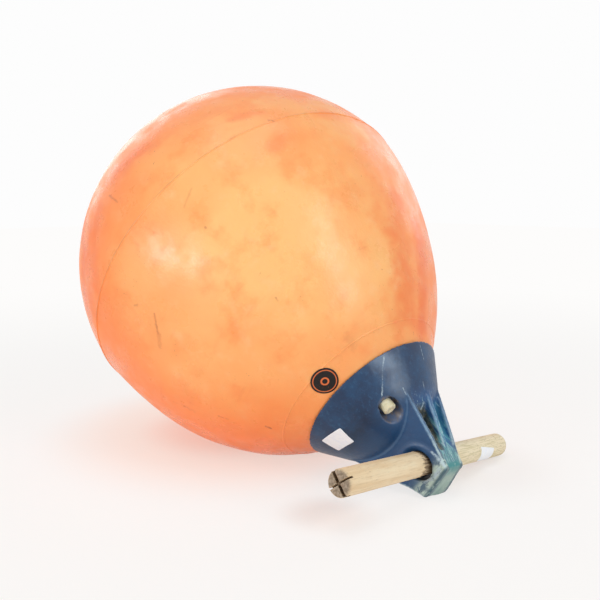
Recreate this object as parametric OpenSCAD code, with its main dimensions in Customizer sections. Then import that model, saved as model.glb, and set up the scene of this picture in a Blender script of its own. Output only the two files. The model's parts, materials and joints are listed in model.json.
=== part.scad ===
// Inflated marker buoy, lying on its side with a wooden dowel through its rope eye.
// Everything is drawn upright on the buoy's own axis: z runs from the middle of the
// ball to the rope eye, y runs along the dowel, and x runs across the narrow edges
// of the eye blade. lay_down() then rests the finished buoy on the floor.

/* [Float body] */
// Radius of the ball behind the seam
ball_r = 215; // [180:1:240]
// Wall of the moulded float
wall = 4; // [3:0.5:10]
// How far the hollow lies off the axis, which makes the wall thicker on the side it rests on
wall_drift = 0.25; // [0:0.05:0.5]
// Height of the head's rim above the seam
rim_z = 230; // [222:1:240]
// Radius of the float at the head's rim
rim_r = 83; // [76:1:90]
// Radius of the arc from the seam to the rim
shoulder_r = 328; // [300:1:380]
// Height of the flat end of the neck inside the head
neck_end_z = 256; // [250:1:260]
// How far the seam bead stands out
seam_proud = 0.8; // [0.4:0.1:1.5]
// Radius of the seam bead's section
seam_bead_r = 1.6; // [1.2:0.1:3]
// Height of the second ring, near the head
ring_z = 212; // [195:1:218]

/* [Head] */
// Thickness of the skirt at its rim
lip = 2.5; // [2:0.5:4]
// Angle of the skirt's side to the buoy's axis
skirt_angle = 34.8; // [32:0.1:37]
// Height of the dome's top
dome_z = 295; // [290:1:300]

/* [Eye blade] */
// Height of the blade's flat end
tip_z = 346.5; // [340:0.5:354]
// Half width of the blade's end
tip_half_w = 21; // [19:0.5:25]
// Thickness of the blade at its end
tip_t = 29; // [24:0.5:34]
// Radius of the end's corners
tip_round = 4; // [2:0.5:8]
// Lean of the broad faces to the axis
face_lean = 11.7; // [9:0.1:13]
// Lean of the narrow edges to the axis
edge_lean = 21; // [19:0.1:23]
// Thickness of the two outer fins
fin_t = 5; // [3:0.5:8]
// Thickness of the middle fin
mid_fin_t = 7; // [4:0.5:10]
// How far the middle fin stands out past the outer ones at its root
mid_fin_proud = 7.5; // [3:0.5:9]
// Height where the middle fin has run down to the outer ones
mid_fin_end_z = 317; // [305:1:325]
// Distance from the axis to the floor of the grooves
groove_floor = 27; // [25:0.5:30]

/* [Rope eye] */
// Height of the eye's centre
eye_z = 322.5; // [318:0.5:325]
// Radius of the eye
eye_r = 14.75; // [14:0.25:16]
// Width of the raised pad round the eye, outside the chamfer
pad_rim = 6; // [4:0.5:8]
// Height of the pad above the broad faces
pad_proud = 1; // [0.5:0.1:2]
// Width of the worn chamfer at the eye's mouths
eye_chamfer = 0.5; // [0.25:0.25:2]

/* [Valve] */
// Angle of the valve round the axis, from the dowel's near end to the upper edge
valve_angle = 35.5; // [32:0.5:40]
// How far the valve lies inside the skirt, at the pocket's floor
valve_inset = 10.5; // [9:0.5:12]
// Radius of the pocket
pocket_r = 11; // [9.5:0.25:12]
// Height of the pocket's floor
pocket_z = 262; // [260:0.5:265]
// Radius of the plug's head
plug_r = 7; // [5:0.25:8]
// Height of the plug's head
plug_h = 10; // [7:0.5:12]
// Radius of the plug's shank
shank_r = 4; // [3:0.25:5]
// Length of the plug's shank
shank_l = 22; // [20:0.5:30]
// Gap between the shank and its hole
shank_gap = 0.1; // [0.05:0.05:0.3]

/* [Dowel] */
// Radius of the dowel
dowel_r = 13; // [11:0.25:13.5]
// Length from the blade's middle to the far end
dowel_far = 155; // [120:1:180]
// Length from the blade's middle to the near end
dowel_near = 149; // [100:1:180]
// Rounding of the dowel's ends
end_round = 2.5; // [1:0.25:4]
// Depth worn off the dowel inside the eye
waist_depth = 0.4; // [0.2:0.1:1]
// Length of the worn stretch, from the blade's middle
waist_half_l = 24; // [22:0.5:28]
// Gap between the dowel and the side of the eye it rests on
seat_gap = 0.3; // [0.2:0.05:0.5]
// Width of the saw cuts across the near end
kerf_w = 3; // [1.5:0.1:4]
// Depth of the saw cuts
kerf_depth = 12; // [6:1:20]
// Turn of the saw cuts round the dowel
kerf_turn = 17; // [0:1:45]

/* [Hidden] */

$fn = 180;
eps = 0.01;
// past the whole part, for cuts that run out of it
clear = 2 * tip_z;

orange = "#F6935A";
blue = "#2F4E7C";
ivory = "#EADFC2";
pale_wood = "#D8BD92";

// The shoulder arc runs through the seam (ball_r, 0) and the rim (rim_r, rim_z)
chord = [rim_r - ball_r, rim_z];
chord_l = norm(chord);
sagitta_arm = sqrt(shoulder_r * shoulder_r - chord_l * chord_l / 4);
// centre of the shoulder arc, as [radius, height]
shoulder_c = [ball_r + chord[0] / 2 - sagitta_arm * chord[1] / chord_l,
              chord[1] / 2 + sagitta_arm * chord[0] / chord_l];

function shoulder_r_at(z) = shoulder_c[0] + sqrt(shoulder_r * shoulder_r - pow(z - shoulder_c[1], 2));

// Skirt and dome, as [radius, height]
skirt_slope = tan(skirt_angle);
skirt_r0 = rim_r + lip;
function skirt_r_at(z) = skirt_r0 - (z - rim_z) * skirt_slope;
// the dome is a ball that the skirt's side runs into smoothly
dome_r = skirt_r_at(dome_z) * cos(skirt_angle) / (1 - sin(skirt_angle));
dome_start = [dome_r * cos(skirt_angle), dome_z - dome_r + dome_r * sin(skirt_angle)];

// Distance of the valve from the axis
valve_off = skirt_r_at(pocket_z) - valve_inset;

// Blade
face_slope = tan(face_lean);
edge_slope = tan(edge_lean);
blade_root_z = neck_end_z;
function face_y(z) = tip_t / 2 + (tip_z - z) * face_slope;
function edge_x(z) = tip_half_w + (tip_z - z) * edge_slope;

// Raised pad round the eye
pad_half_w = eye_r + eye_chamfer + pad_rim;

// Dowel: it rests against the side of the eye next to the ball
dowel_z = eye_z - (eye_r - dowel_r + waist_depth - seat_gap);

// Corner of the blade's end, as the centre of its rounding [x, z]
tip_corner = [tip_half_w - tip_round, tip_z - tip_round];

// How the buoy lies. It touches the floor with its shoulder, with the lower corner of
// the blade's end and with the dowel's far end, which sets its pitch and its roll.
function sum_angle(a, b, c) = asin(c / norm([a, b])) - atan2(b, a);
function next_pitch(pitch, roll) =
    let (reach = norm([cos(roll) * cos(pitch), sin(pitch) - face_slope * sin(roll) * cos(pitch)]))
    sum_angle(tip_corner[1] - shoulder_c[1],
              cos(roll) * tip_corner[0] + sin(roll) * (face_y(tip_corner[1]) + pad_proud) - shoulder_c[0],
              shoulder_r - tip_round * reach);
function ball_height(pitch) = shoulder_c[1] * sin(pitch) + shoulder_c[0] * cos(pitch) + shoulder_r;
function next_roll(pitch) =
    let (drop = sum_angle(dowel_far - end_round, dowel_r - end_round,
                          ball_height(pitch) - dowel_z * sin(pitch) - end_round))
    asin(sin(drop) / cos(pitch));
function settle(pitch, roll, steps) =
    steps == 0 ? [pitch, roll] :
    let (new_pitch = next_pitch(pitch, roll))
    settle(new_pitch, next_roll(new_pitch), steps - 1);
rest = settle(35, 7, 25);
pitch = rest[0];
roll = rest[1];
ball_z = ball_height(pitch);

// Forward reach of the blade's end, which with the ball's back sets the middle of the part
reach_slope = cos(pitch) - face_slope * sin(roll) * sin(pitch);
front_x = cos(roll) * sin(pitch) * tip_corner[0] + reach_slope * tip_corner[1]
        + tip_round * norm([cos(roll) * sin(pitch), reach_slope])
        + sin(roll) * sin(pitch) * (face_y(0) + pad_proud);
middle_x = (front_x - ball_r) / 2;

module lay_down() {
    translate([-middle_x, 0, ball_z]) rotate([0, 90 + pitch, 0]) rotate([0, 0, -roll]) children();
}

// Section of the float, smaller by inset all round
module float_section(inset) {
    intersection() {
        circle(r = ball_r - inset);
        translate([0, -ball_r]) square([ball_r, ball_r]);
    }
    intersection() {
        translate(shoulder_c) circle(r = shoulder_r - inset);
        translate([0, -eps]) square([ball_r, neck_end_z - inset + eps]);
    }
}

module bead(radius, height, section_r, proud) {
    translate([radius + proud - section_r, height]) circle(r = section_r, $fn = 32);
}

// Stepped bore of the valve: a hole for the shank under a pocket for the plug's head
module valve_bore() {
    hole_r = shank_r + shank_gap;
    hole_z = pocket_z - shank_l - 2;
    at_valve() rotate_extrude($fn = 96)
        polygon([[0, hole_z], [hole_r, hole_z], [hole_r, pocket_z], [pocket_r, pocket_z],
                 [pocket_r, tip_z], [0, tip_z]]);
}

// One hollow moulding: a half ball, a fuller shoulder and a neck, with its parting seam
module float_body() {
    color(orange) lay_down() difference() {
        rotate_extrude() {
            float_section(0);
            bead(ball_r, 0, seam_bead_r, seam_proud);
            bead(shoulder_r_at(ring_z), ring_z, seam_bead_r, seam_proud / 2);
        }
        translate([0, -wall_drift, 0]) rotate_extrude() float_section(wall);
        valve_bore();
    }
}

// Section of the skirt and dome, seated on the float's shoulder and neck
module dome_section() {
    difference() {
        union() {
            polygon([[0, rim_z], [skirt_r0, rim_z], dome_start, [0, dome_start[1]]]);
            intersection() {
                translate([0, dome_z - dome_r]) circle(r = dome_r);
                translate([0, dome_start[1]]) square([dome_r, dome_r]);
            }
        }
        float_section(0);
    }
}

// The wedge between the broad faces, grown by extra on each side
module wedge(extra) {
    rotate([90, 0, 90]) linear_extrude(height = clear, center = true)
        polygon([for (side = [-1, 1]) for (z = side < 0 ? [blade_root_z, tip_z] : [tip_z, blade_root_z])
                 [side * (face_y(z) + extra), z]]);
}

// Outline of the blade seen along the dowel, wider by proud at its root
module blade_outline(proud) {
    side = [[edge_x(blade_root_z) + proud, blade_root_z], [edge_x(mid_fin_end_z), mid_fin_end_z],
            [tip_half_w, tip_corner[1]], [tip_corner[0], tip_z]];
    polygon([for (p = side) p, for (i = [len(side) - 1:-1:0]) [-side[i][0], side[i][1]]]);
    for (s = [-1, 1]) translate([s * tip_corner[0], tip_corner[1]]) circle(r = tip_round, $fn = 64);
}

module upright(thickness) {
    rotate([90, 0, 0]) linear_extrude(height = thickness, center = true) children();
}

// The two grooves on each narrow edge. The dome closes them at their upper ends.
module grooves() {
    difference() {
        intersection() {
            wedge(-fin_t);
            for (s = [0, 1]) mirror([s, 0, 0])
                translate([groove_floor, -clear / 2, 0]) cube(clear);
        }
        cube([clear, mid_fin_t, clear], center = true);
    }
}

module eye_pad() {
    intersection() {
        wedge(pad_proud);
        upright(clear) intersection() {
            blade_outline(0);
            union() {
                translate([0, eye_z]) circle(r = pad_half_w);
                translate([-pad_half_w, eye_z]) square([2 * pad_half_w, tip_z - eye_z]);
            }
        }
    }
}

module eye_cut() {
    mouth_y = face_y(eye_z) + pad_proud;
    translate([0, 0, eye_z]) rotate([-90, 0, 0]) {
        cylinder(r = eye_r, h = clear, center = true);
        for (s = [0, 1]) mirror([0, 0, s]) translate([0, 0, mouth_y - eye_chamfer])
            cylinder(r1 = eye_r, r2 = pad_half_w, h = pad_half_w - eye_r);
    }
}

module at_valve() {
    rotate([0, 0, -90 - valve_angle]) translate([valve_off, 0, 0]) children();
}

// The head: a bell over the neck that runs out into the ribbed blade with the rope eye
module rope_head() {
    color(blue) lay_down() difference() {
        union() {
            rotate_extrude() dome_section();
            difference() {
                intersection() {
                    wedge(0);
                    upright(clear) blade_outline(0);
                }
                grooves();
            }
            intersection() {
                upright(mid_fin_t) blade_outline(mid_fin_proud);
                wedge(0);
            }
            eye_pad();
        }
        eye_cut();
        valve_bore();
    }
}

module valve_plug() {
    color(ivory) lay_down() at_valve() {
        translate([0, 0, pocket_z]) rotate_extrude($fn = 96) difference() {
            union() {
                square([plug_r, plug_h - 2]);
                square([plug_r - 2, plug_h]);
                translate([plug_r - 2, plug_h - 2]) circle(r = 2, $fn = 48);
            }
            translate([0, plug_h + 2]) circle(r = 3.5, $fn = 48);
            translate([-plug_r, 0]) square([plug_r, 2 * plug_h]);
        }
        translate([0, 0, pocket_z - shank_l]) cylinder(r = shank_r, h = shank_l + 1, $fn = 48);
    }
}

// Section of the dowel: radius against length, measured from its near end
module dowel_section() {
    length = dowel_near + dowel_far;
    difference() {
        union() {
            translate([0, end_round]) square([dowel_r, length - 2 * end_round]);
            square([dowel_r - end_round, length]);
            for (y = [end_round, length - end_round])
                translate([dowel_r - end_round, y]) circle(r = end_round, $fn = 48);
        }
        translate([dowel_r - waist_depth, dowel_near - waist_half_l]) square([1, 2 * waist_half_l]);
        translate([-dowel_r, 0]) square([dowel_r, length]);
    }
}

module dowel() {
    color(pale_wood) lay_down() translate([0, -dowel_near, dowel_z]) rotate([-90, 0, 0]) difference() {
        rotate_extrude() dowel_section();
        for (a = [kerf_turn, kerf_turn + 90])
            rotate([0, 0, a]) cube([4 * dowel_r, kerf_w, 2 * kerf_depth], center = true);
    }
}

float_body();
rope_head();
valve_plug();
dowel();
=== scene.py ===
import json
from math import acos, asin, atan2, cos, dist, pi, radians, sin, sqrt, tan

import bmesh
import bpy
import numpy as np
from mathutils import Matrix, Vector


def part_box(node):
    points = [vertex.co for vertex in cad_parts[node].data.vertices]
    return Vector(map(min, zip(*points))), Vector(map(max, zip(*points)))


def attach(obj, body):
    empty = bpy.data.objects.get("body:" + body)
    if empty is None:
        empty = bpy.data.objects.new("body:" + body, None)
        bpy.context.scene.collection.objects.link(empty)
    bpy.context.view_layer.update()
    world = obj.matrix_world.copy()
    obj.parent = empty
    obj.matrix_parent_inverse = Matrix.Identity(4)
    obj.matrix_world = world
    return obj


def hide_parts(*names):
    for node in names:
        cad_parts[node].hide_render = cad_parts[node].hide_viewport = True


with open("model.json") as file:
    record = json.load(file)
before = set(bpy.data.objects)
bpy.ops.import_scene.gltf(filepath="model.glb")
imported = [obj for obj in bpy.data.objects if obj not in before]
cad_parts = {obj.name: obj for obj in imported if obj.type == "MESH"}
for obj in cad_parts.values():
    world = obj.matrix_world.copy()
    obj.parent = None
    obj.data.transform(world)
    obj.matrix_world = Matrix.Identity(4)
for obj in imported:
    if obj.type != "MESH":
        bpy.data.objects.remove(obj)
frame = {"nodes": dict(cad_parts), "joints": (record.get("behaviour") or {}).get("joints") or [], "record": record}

# Looks of an inflated marker buoy that lies on a studio floor with a dowel through its eye.
# The float, its beads and the splinters come from Geometry Nodes, and the head and the dowel
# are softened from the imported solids. Two frames help: the upright buoy, z from the ball's
# middle to the eye and y along the dowel, and the dowel's own, z along it. Lengths are metres
# unless a name says mm.

bl_info = {
    "name": "Marker buoy with a dowel",
    "version": (1, 0, 0),
    "blender": (4, 5, 0),
    "location": "View3D > Sidebar > Buoy",
    "description": "Dresses the packed marker buoy and its dowel, and sets the stage",
    "category": "Object",
}

# ---- where things are

FLOAT_LO, FLOAT_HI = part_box("float_body")
DOWEL_JOINT = frame["joints"][0]
DOWEL_DIR = Vector(DOWEL_JOINT["axis"]).normalized()
DOWEL_MID = Vector(DOWEL_JOINT["pos_m"])
DOWEL_RADIUS = frame["record"]["mounts"][0]["dims"]["r_mm"] / 1000
ROLL = acos(DOWEL_DIR.y)
PITCH = atan2(-DOWEL_DIR.x, -DOWEL_DIR.z)


def lay_down():
    """The buoy stands upright on its own axis, and this lays it down as it rests."""
    ball_radius = bpy.context.scene.buoy_float.ball_radius
    middle = Vector((FLOAT_LO.x + ball_radius, 0, FLOAT_HI.z - ball_radius))
    return (Matrix.Translation(middle) @ Matrix.Rotation(radians(90) + PITCH, 4, "Y")
            @ Matrix.Rotation(-ROLL, 4, "Z"))


def dowel_frame():
    """z runs along the dowel from the blade's middle to the far end."""
    z = DOWEL_DIR
    x = Vector((0, 0, 1)).cross(z).normalized()
    turn = Matrix((x, z.cross(x), z)).transposed().to_4x4()
    return Matrix.Translation(DOWEL_MID) @ turn


def inside_frame(co, place):
    """Points of the room, given in the frame that a matrix places."""
    back = np.array(place.inverted())
    return co @ back[:3, :3].T + back[:3, 3]


def around(radius, turn, height=0.0):
    """The point at a radius, a turn and a height."""
    return Vector((radius * cos(turn), radius * sin(turn), height))


# ---- nodes and colours

def linear(hex_colour):
    """sRGB hex to linear RGBA."""
    parts = [int(hex_colour.lstrip("#")[i:i + 2], 16) / 255 for i in (0, 2, 4)]
    return (*(c / 12.92 if c <= 0.04045 else ((c + 0.055) / 1.055) ** 2.4 for c in parts), 1.0)


def add(tree, kind, wires=(), **settings):
    """Adds a node. wires maps an input's name or number to a value, a hex colour, another
    node's output, or another node for its first output."""
    made = tree.nodes.new(kind)
    for key, value in settings.items():
        setattr(made, key, value)
    for key, value in dict(wires).items():
        if isinstance(value, bpy.types.Node):
            value = value.outputs[0]
        if isinstance(value, bpy.types.NodeSocket):
            tree.links.new(value, made.inputs[key])
        else:
            made.inputs[key].default_value = linear(value) if isinstance(value, str) else value
    return made


def tree_of(*values):
    """The tree that the first wired one of these values is in."""
    return next(value.id_data for value in values if isinstance(value, bpy.types.NodeSocket))


def calc(operation, *values, clamp=False):
    return add(tree_of(*values), "ShaderNodeMath", dict(enumerate(values)), operation=operation,
               use_clamp=clamp).outputs[0]


def plus(a, b):
    return calc("ADD", a, b)


def most(a, b):
    return calc("MAXIMUM", a, b)


def times(*values):
    product = values[0]
    for value in values[1:]:
        product = calc("MULTIPLY", product, value)
    return product


def vec(operation, *values, **named):
    """A vector operation, and the number where it gives one."""
    wires = {**dict(enumerate(values)), **named}
    made = add(tree_of(*wires.values()), "ShaderNodeVectorMath", wires, operation=operation)
    return made.outputs["Value" if operation in ("DISTANCE", "DOT_PRODUCT", "LENGTH") else "Vector"]


def xyz(*values):
    return add(tree_of(*values), "ShaderNodeCombineXYZ", dict(enumerate(values))).outputs[0]


def parted(point):
    """The x, y and z of a point."""
    return add(point.id_data, "ShaderNodeSeparateXYZ", {0: point}).outputs


def new_tree(name, floats, integers=()):
    """A Geometry Nodes tree with named inputs, the material among them, and a geometry output."""
    tree = bpy.data.node_groups.new(name, "GeometryNodeTree")
    inputs = [*((label, "Float") for label in floats), *((label, "Int") for label in integers),
              ("Material", "Material")]
    for label, kind in inputs:
        tree.interface.new_socket(label, in_out="INPUT", socket_type="NodeSocket" + kind)
    tree.interface.new_socket("Geometry", in_out="OUTPUT", socket_type="NodeSocketGeometry")
    return tree, add(tree, "NodeGroupInput").outputs


def end_tree(tree, geometry, given):
    real = add(tree, "GeometryNodeRealizeInstances", {0: geometry})
    made = add(tree, "GeometryNodeSetMaterial", {"Geometry": real, "Material": given["Material"]})
    add(tree, "NodeGroupOutput", {0: made})
    return tree


# ---- meshes

def put(name, data):
    piece = bpy.data.objects.new(name, data)
    bpy.context.scene.collection.objects.link(piece)
    return piece


def set_smooth(mesh):
    mesh.polygons.foreach_set("use_smooth", np.ones(len(mesh.polygons), bool))
    mesh.update()


def settle(piece):
    """Turns a piece's modifiers into plain mesh."""
    depsgraph = bpy.context.evaluated_depsgraph_get()
    mesh = bpy.data.meshes.new_from_object(piece.evaluated_get(depsgraph))
    piece.modifiers.clear()
    piece.data = mesh


def run_tree(name, tree, material, values):
    """Makes a piece from a Geometry Nodes tree."""
    values = {**values, "Material": material}
    piece = put(name, bpy.data.meshes.new(name))
    modifier = piece.modifiers.new("Form", "NODES")
    modifier.node_group = tree
    for item in tree.interface.items_tree:
        if item.item_type == "SOCKET" and item.in_out == "INPUT":
            modifier[item.identifier] = values[item.name]
    settle(piece)
    set_smooth(piece.data)
    piece.data.materials.clear()
    piece.data.materials.append(material)
    return piece


def store(mesh, **layers):
    """Keeps numbers on a mesh for its material, one a vertex."""
    for name, values in layers.items():
        layer = mesh.attributes.new(name, "FLOAT", "POINT")
        layer.data.foreach_set("value", np.asarray(values, np.float32))


def from_bmesh(name, build):
    mesh = bpy.data.meshes.new(name)
    build.to_mesh(mesh)
    build.free()
    return mesh


def read(items, key, width, kind=float):
    """A value of every item of a mesh, one row each."""
    out = np.zeros(len(items) * width, kind)
    items.foreach_get(key, out)
    return out.reshape(-1, width)


def points(mesh):
    return read(mesh.vertices, "co", 3)


def normals(mesh):
    return read(mesh.vertex_normals, "vector", 3, np.float32).astype(float)


def neighbours(mesh):
    return read(mesh.edges, "vertices", 2, np.int64)


def set_points(mesh, co):
    mesh.vertices.foreach_set("co", np.asarray(co, np.float32).ravel())
    mesh.update()


def averaged(values, ends, steps, share=0.5):
    """Values, one row a vertex, each pulled towards its neighbours' mean a number of times."""
    values = np.array(values, float)
    if values.ndim == 1:
        return averaged(values[:, None], ends, steps, share)[:, 0]
    count = np.bincount(ends.ravel(), minlength=len(values))[:, None]
    for _ in range(steps):
        total = np.zeros_like(values)
        for k in range(values.shape[1]):
            total[:, k] = (np.bincount(ends[:, 0], values[ends[:, 1], k], len(values))
                           + np.bincount(ends[:, 1], values[ends[:, 0], k], len(values)))
        values += share * (total / np.maximum(count, 1) - values)
    return values


def ramp(x, low, high):
    """Eased from 0 at low to 1 at high."""
    t = np.clip((np.asarray(x) - low) / (high - low), 0, 1)
    return t * t * (3 - 2 * t)


def softened(node_name, name, voxel, steps):
    """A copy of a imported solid, merged and remeshed evenly, with its edges rounded off, and how
    far in mm each of its points stands out: edges do, and corners of hollows sink."""
    build = bmesh.new()
    build.from_mesh(frame["nodes"][node_name].data)
    bmesh.ops.remove_doubles(build, verts=build.verts, dist=2e-6)
    piece = put(name, from_bmesh(name, build))
    remesh = piece.modifiers.new("Even", "REMESH")
    remesh.mode, remesh.voxel_size, remesh.adaptivity = "VOXEL", voxel, 0
    settle(piece)
    mesh = piece.data
    ends = neighbours(mesh)
    rounded = averaged(points(mesh), ends, steps)
    set_points(mesh, rounded)
    proud = ((rounded - averaged(rounded, ends, 10)) * normals(mesh)).sum(1) * 1000
    set_smooth(mesh)
    return piece, proud.astype(np.float32)


def keep_inside(mesh, lo, hi):
    """Holds every point of a mesh inside a box."""
    set_points(mesh, np.clip(points(mesh), np.array(lo), np.array(hi)))


# ---- sizes and colours

def length(name, default, description):
    return bpy.props.FloatProperty(name=name, description=description, default=default,
                                   unit="LENGTH", precision=4)


def angle(name, degrees, description):
    return bpy.props.FloatProperty(name=name, description=description,
                                   default=radians(degrees), subtype="ANGLE")


def number(name, default, description, kind=bpy.props.FloatProperty):
    return kind(name=name, description=description, default=default, min=0)


def tint(name, default, where):
    return bpy.props.FloatVectorProperty(name=name, description="Colour of " + where, size=4,
                                         default=linear(default), subtype="COLOR", min=0, max=1)


class FloatSizes(bpy.types.PropertyGroup):
    """Sizes and colours of the moulded float"""
    ball_radius: length("Ball radius", 0.215, "Radius behind the seam")
    shoulder_radius: length("Shoulder radius", 0.328, "Radius of the arc from the seam to the head")
    rim_height: length("Rim height", 0.230, "Height of the head's rim above the seam")
    rim_radius: length("Rim radius", 0.083, "Radius of the float at the rim")
    neck_height: length("Neck height", 0.2555, "End of the neck inside the head")
    ring_height: length("Second ring", 0.212, "Height of the ring near the head")
    bead_radius: length("Bead", 0.0016, "Radius of the seam bead's section")
    unevenness: length("Unevenness", 0.0009, "Depth of the soft dents in the wall")
    slack_above: length("Slack above", 0.0062, "How far the shoulder flattens on its upper side")
    slack_below: length("Slack below", 0.0062, "How far the shoulder spreads on the floor")
    # the pale orange is painted light on the float's lit front, and the colour of the paler patches on its top;
    # the deep orange is the float's own colour, which shows away from that painted light
    pale_orange: tint("Faded orange", "#FFC17B", "the vinyl where the sun bleached it")
    deep: tint("Deep orange", "#FD7C30", "the vinyl that kept its dye")
    rubbed: tint("Rubbed marks", "#9A4426", "scuffs and specks")


class HeadSizes(bpy.types.PropertyGroup):
    """Sizes and colours of the rope-eye head"""
    grain: length("Mesh size", 0.0011, "Size of the head's faces")
    fillet: length("Fillet", 0.004, "Reach of the soft corners between the blade and the skirt")
    tip_height: length("Tip height", 0.3465, "Height of the blade's flat end above the seam")
    tip_half_width: length("Tip half width", 0.021, "Half width of the blade's end")
    tip_thickness: length("Tip thickness", 0.029, "Thickness of the blade at its end")
    eye_height: length("Eye height", 0.3225, "Height of the eye's middle above the seam")
    navy: tint("Navy", "#022548", "the moulded head")
    bright: tint("Bright blue", "#08487A", "the vinyl on the blade's broad faces")
    teal: tint("Teal", "#588A86", "the bleached end of the blade")
    chalk: tint("Chalk", "#BCD2C8", "the chalky bloom on rubbed vinyl")
    dirt: tint("Dirt", "#646049", "the dirt in the grooves")


class DowelSizes(bpy.types.PropertyGroup):
    """Sizes and colours of the wooden dowel"""
    grain: length("Mesh size", 0.0008, "Size of the dowel's faces")
    near_end: length("Near end", 0.149, "Length from the blade's middle to the sawn end")
    mouth: length("Eye mouth", 0.0196, "Distance from the blade's middle to the mouth of the eye")
    splinters: number("Splinters", 70, "Loose fibres at each mouth of the eye",
                      bpy.props.IntProperty)
    wood: tint("Wood", "#F0DCB8", "the clean bare wood")
    weathered: tint("Weathered wood", "#F0E8CC", "the greyed wood")
    stain: tint("Stain", "#553B2A", "the dark wood at the eye and in the saw cuts")


class StageSizes(bpy.types.PropertyGroup):
    """Camera, lamps and floor"""
    camera_at: bpy.props.FloatVectorProperty(
        name="Camera", description="Place of the camera", default=(0.69219, -0.63180, 0.30629),
        subtype="TRANSLATION")
    azimuth: angle("Azimuth", 46.235, "Turn of the view from +Y")
    elevation: angle("Elevation", 7.777, "How far the view looks down")
    lens: number("Lens", 47.009, "Focal length in millimetres")
    sky: number("Sky", 0.36, "Strength of the even light from all round")
    floor: tint("Floor", "#F8F5F2", "the floor")


# ---- materials

# the way from the float to its lit front, near the camera: there the float is painted paler, painted light for the
# light that falls on it
LIT_SIDE = Vector((0.765, -0.60, 0.23))


def new_look(name, place):
    """A new material, and its surface's point in the frame that a matrix places."""
    material = bpy.data.materials.new(name)
    material.use_nodes = True
    tree = material.node_tree
    tree.nodes.clear()
    back = place.inverted()
    point = add(tree, "ShaderNodeMapping", {
        "Vector": add(tree, "ShaderNodeTexCoord").outputs["Object"],
        "Rotation": back.to_euler("XYZ"), "Location": back.to_translation()}).outputs[0]
    return material, point


def shaded(material, wires, relief=None, strength=1.0, distance=1.0):
    """Ends a material with its Principled shader. relief is the surface's height."""
    tree = material.node_tree
    if relief is not None:
        wires["Normal"] = add(tree, "ShaderNodeBump", {
            "Height": relief, "Strength": strength, "Distance": distance})
    add(tree, "ShaderNodeOutputMaterial", {0: add(tree, "ShaderNodeBsdfPrincipled", wires)})
    return material


def noise(point, size_mm, detail=3.0, roughness=0.55, distortion=0.0, stretch=None):
    """Noise of a real size. stretch draws it out: 0.1 makes it ten times as long that way."""
    tree = point.id_data
    if stretch:
        point = add(tree, "ShaderNodeMapping", {"Vector": point, "Scale": stretch}).outputs[0]
    return add(tree, "ShaderNodeTexNoise", {
        "Vector": point, "Scale": 1000 / size_mm, "Detail": detail, "Roughness": roughness,
        "Distortion": distortion}).outputs[0]


def swing(value, reach):
    """A noise about zero, as far as reach."""
    return times(calc("SUBTRACT", value, 0.5), reach)


def window(value, low, high, full=1.0, least=0.0):
    """Eased from least at low to full at high."""
    return add(value.id_data, "ShaderNodeMapRange", {
        "Value": value, "From Min": low, "From Max": high, "To Min": least, "To Max": full},
        interpolation_type="SMOOTHSTEP").outputs[0]


def painted(colour, *layers):
    """Colours laid one over the other. A layer is its colour and how much of it shows, as
    one factor or more."""
    for over, *shares in layers:
        colour = add(tree_of(*shares), "ShaderNodeMix", {0: times(*shares), 6: colour, 7: over},
                     data_type="RGBA").outputs[2]
    return colour


def stored(point, name):
    """The numbers that store() kept on the mesh under a name."""
    return add(point.id_data, "ShaderNodeAttribute", attribute_name=name).outputs["Fac"]


def strokes(point, marks, ragged_mm=3.0):
    """Soft straight marks. Each is two ends and a half width in mm, and a strength."""
    ragged = calc("SUBTRACT", noise(point, ragged_mm, 3), 0.5)
    total = 0.0
    for *ends, half_width_mm, strength in marks:
        start, end = Vector(ends[:3]) / 1000, Vector(ends[3:]) / 1000
        along, half_width = end - start, half_width_mm / 1000
        arm = vec("SUBTRACT", point, start)
        share = calc("ADD", vec("DOT_PRODUCT", arm, along / along.length_squared), 0.0, clamp=True)
        off = vec("DISTANCE", arm, vec("SCALE", along, Scale=share))
        off = plus(off, times(ragged, half_width * 2.2))
        total = most(total, window(off, half_width * 1.5, 0.0, strength))
    return total


# marks: two ends in mm on the upright buoy, half width in mm, strength
FLOAT_MARKS = (
    (18.3, -197.9, 73, 34.6, -191.2, 85.1, 1.5, 0.42), (34, -191, 86, 47, -187, 92, 2.8, 0.25),
    (105.6, -146.9, 114.7, 100, -144.1, 125, 1.7, 0.5),
    (100, -144.1, 125, 98.1, -137.2, 136.5, 2.4, 0.4),
    (81.2, -128.6, 161.1, 78, -123.4, 169.1, 1.8, 0.6),
    (61.5, -102.2, 199, 61.1, -97.8, 202.8, 1.5, 0.7),
    (28.5, -204, 49.1, 24.7, -203.7, 51.9, 1.5, 0.35),
    (-29.5, -202.9, -64.5, -35.8, -207.7, -42.2, 1.4, 0.4),
    (-182.8, -113.1, -3.3, -185.3, -109.3, 1.2, 1.6, 0.5), (-70, -85, 207, -66, -79, 214, 5, 0.14),
    (-102.2, -185.8, 21.2, -85.3, -192, 31.1, 1.4, 0.2), (-199.6, 14.2, 68.9, -196, 6, 80, 3, 0.35),
    (-176, -8, 121, -174, -15, 127, 2.4, 0.4), (-84.5, -184, 61.3, -84, -183.5, 62.6, 1.2, 0.35),
    (-170.3, -88.3, 91.2, -169.9, -88, 92.4, 1.3, 0.45),
    (-70.7, -143.6, 150, -69.4, -142.6, 152.6, 1.2, 0.45), (-60, 130, 158, -44, 141, 149, 1.4, 0.5),
    (60, 178, 80, 84, 170, 84, 2.2, 0.45), (40, 160, -130, 22, 150, -149, 1.5, 0.5),
    (-150, 60, -138, -132, 66, -152, 2, 0.4),
)
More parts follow.
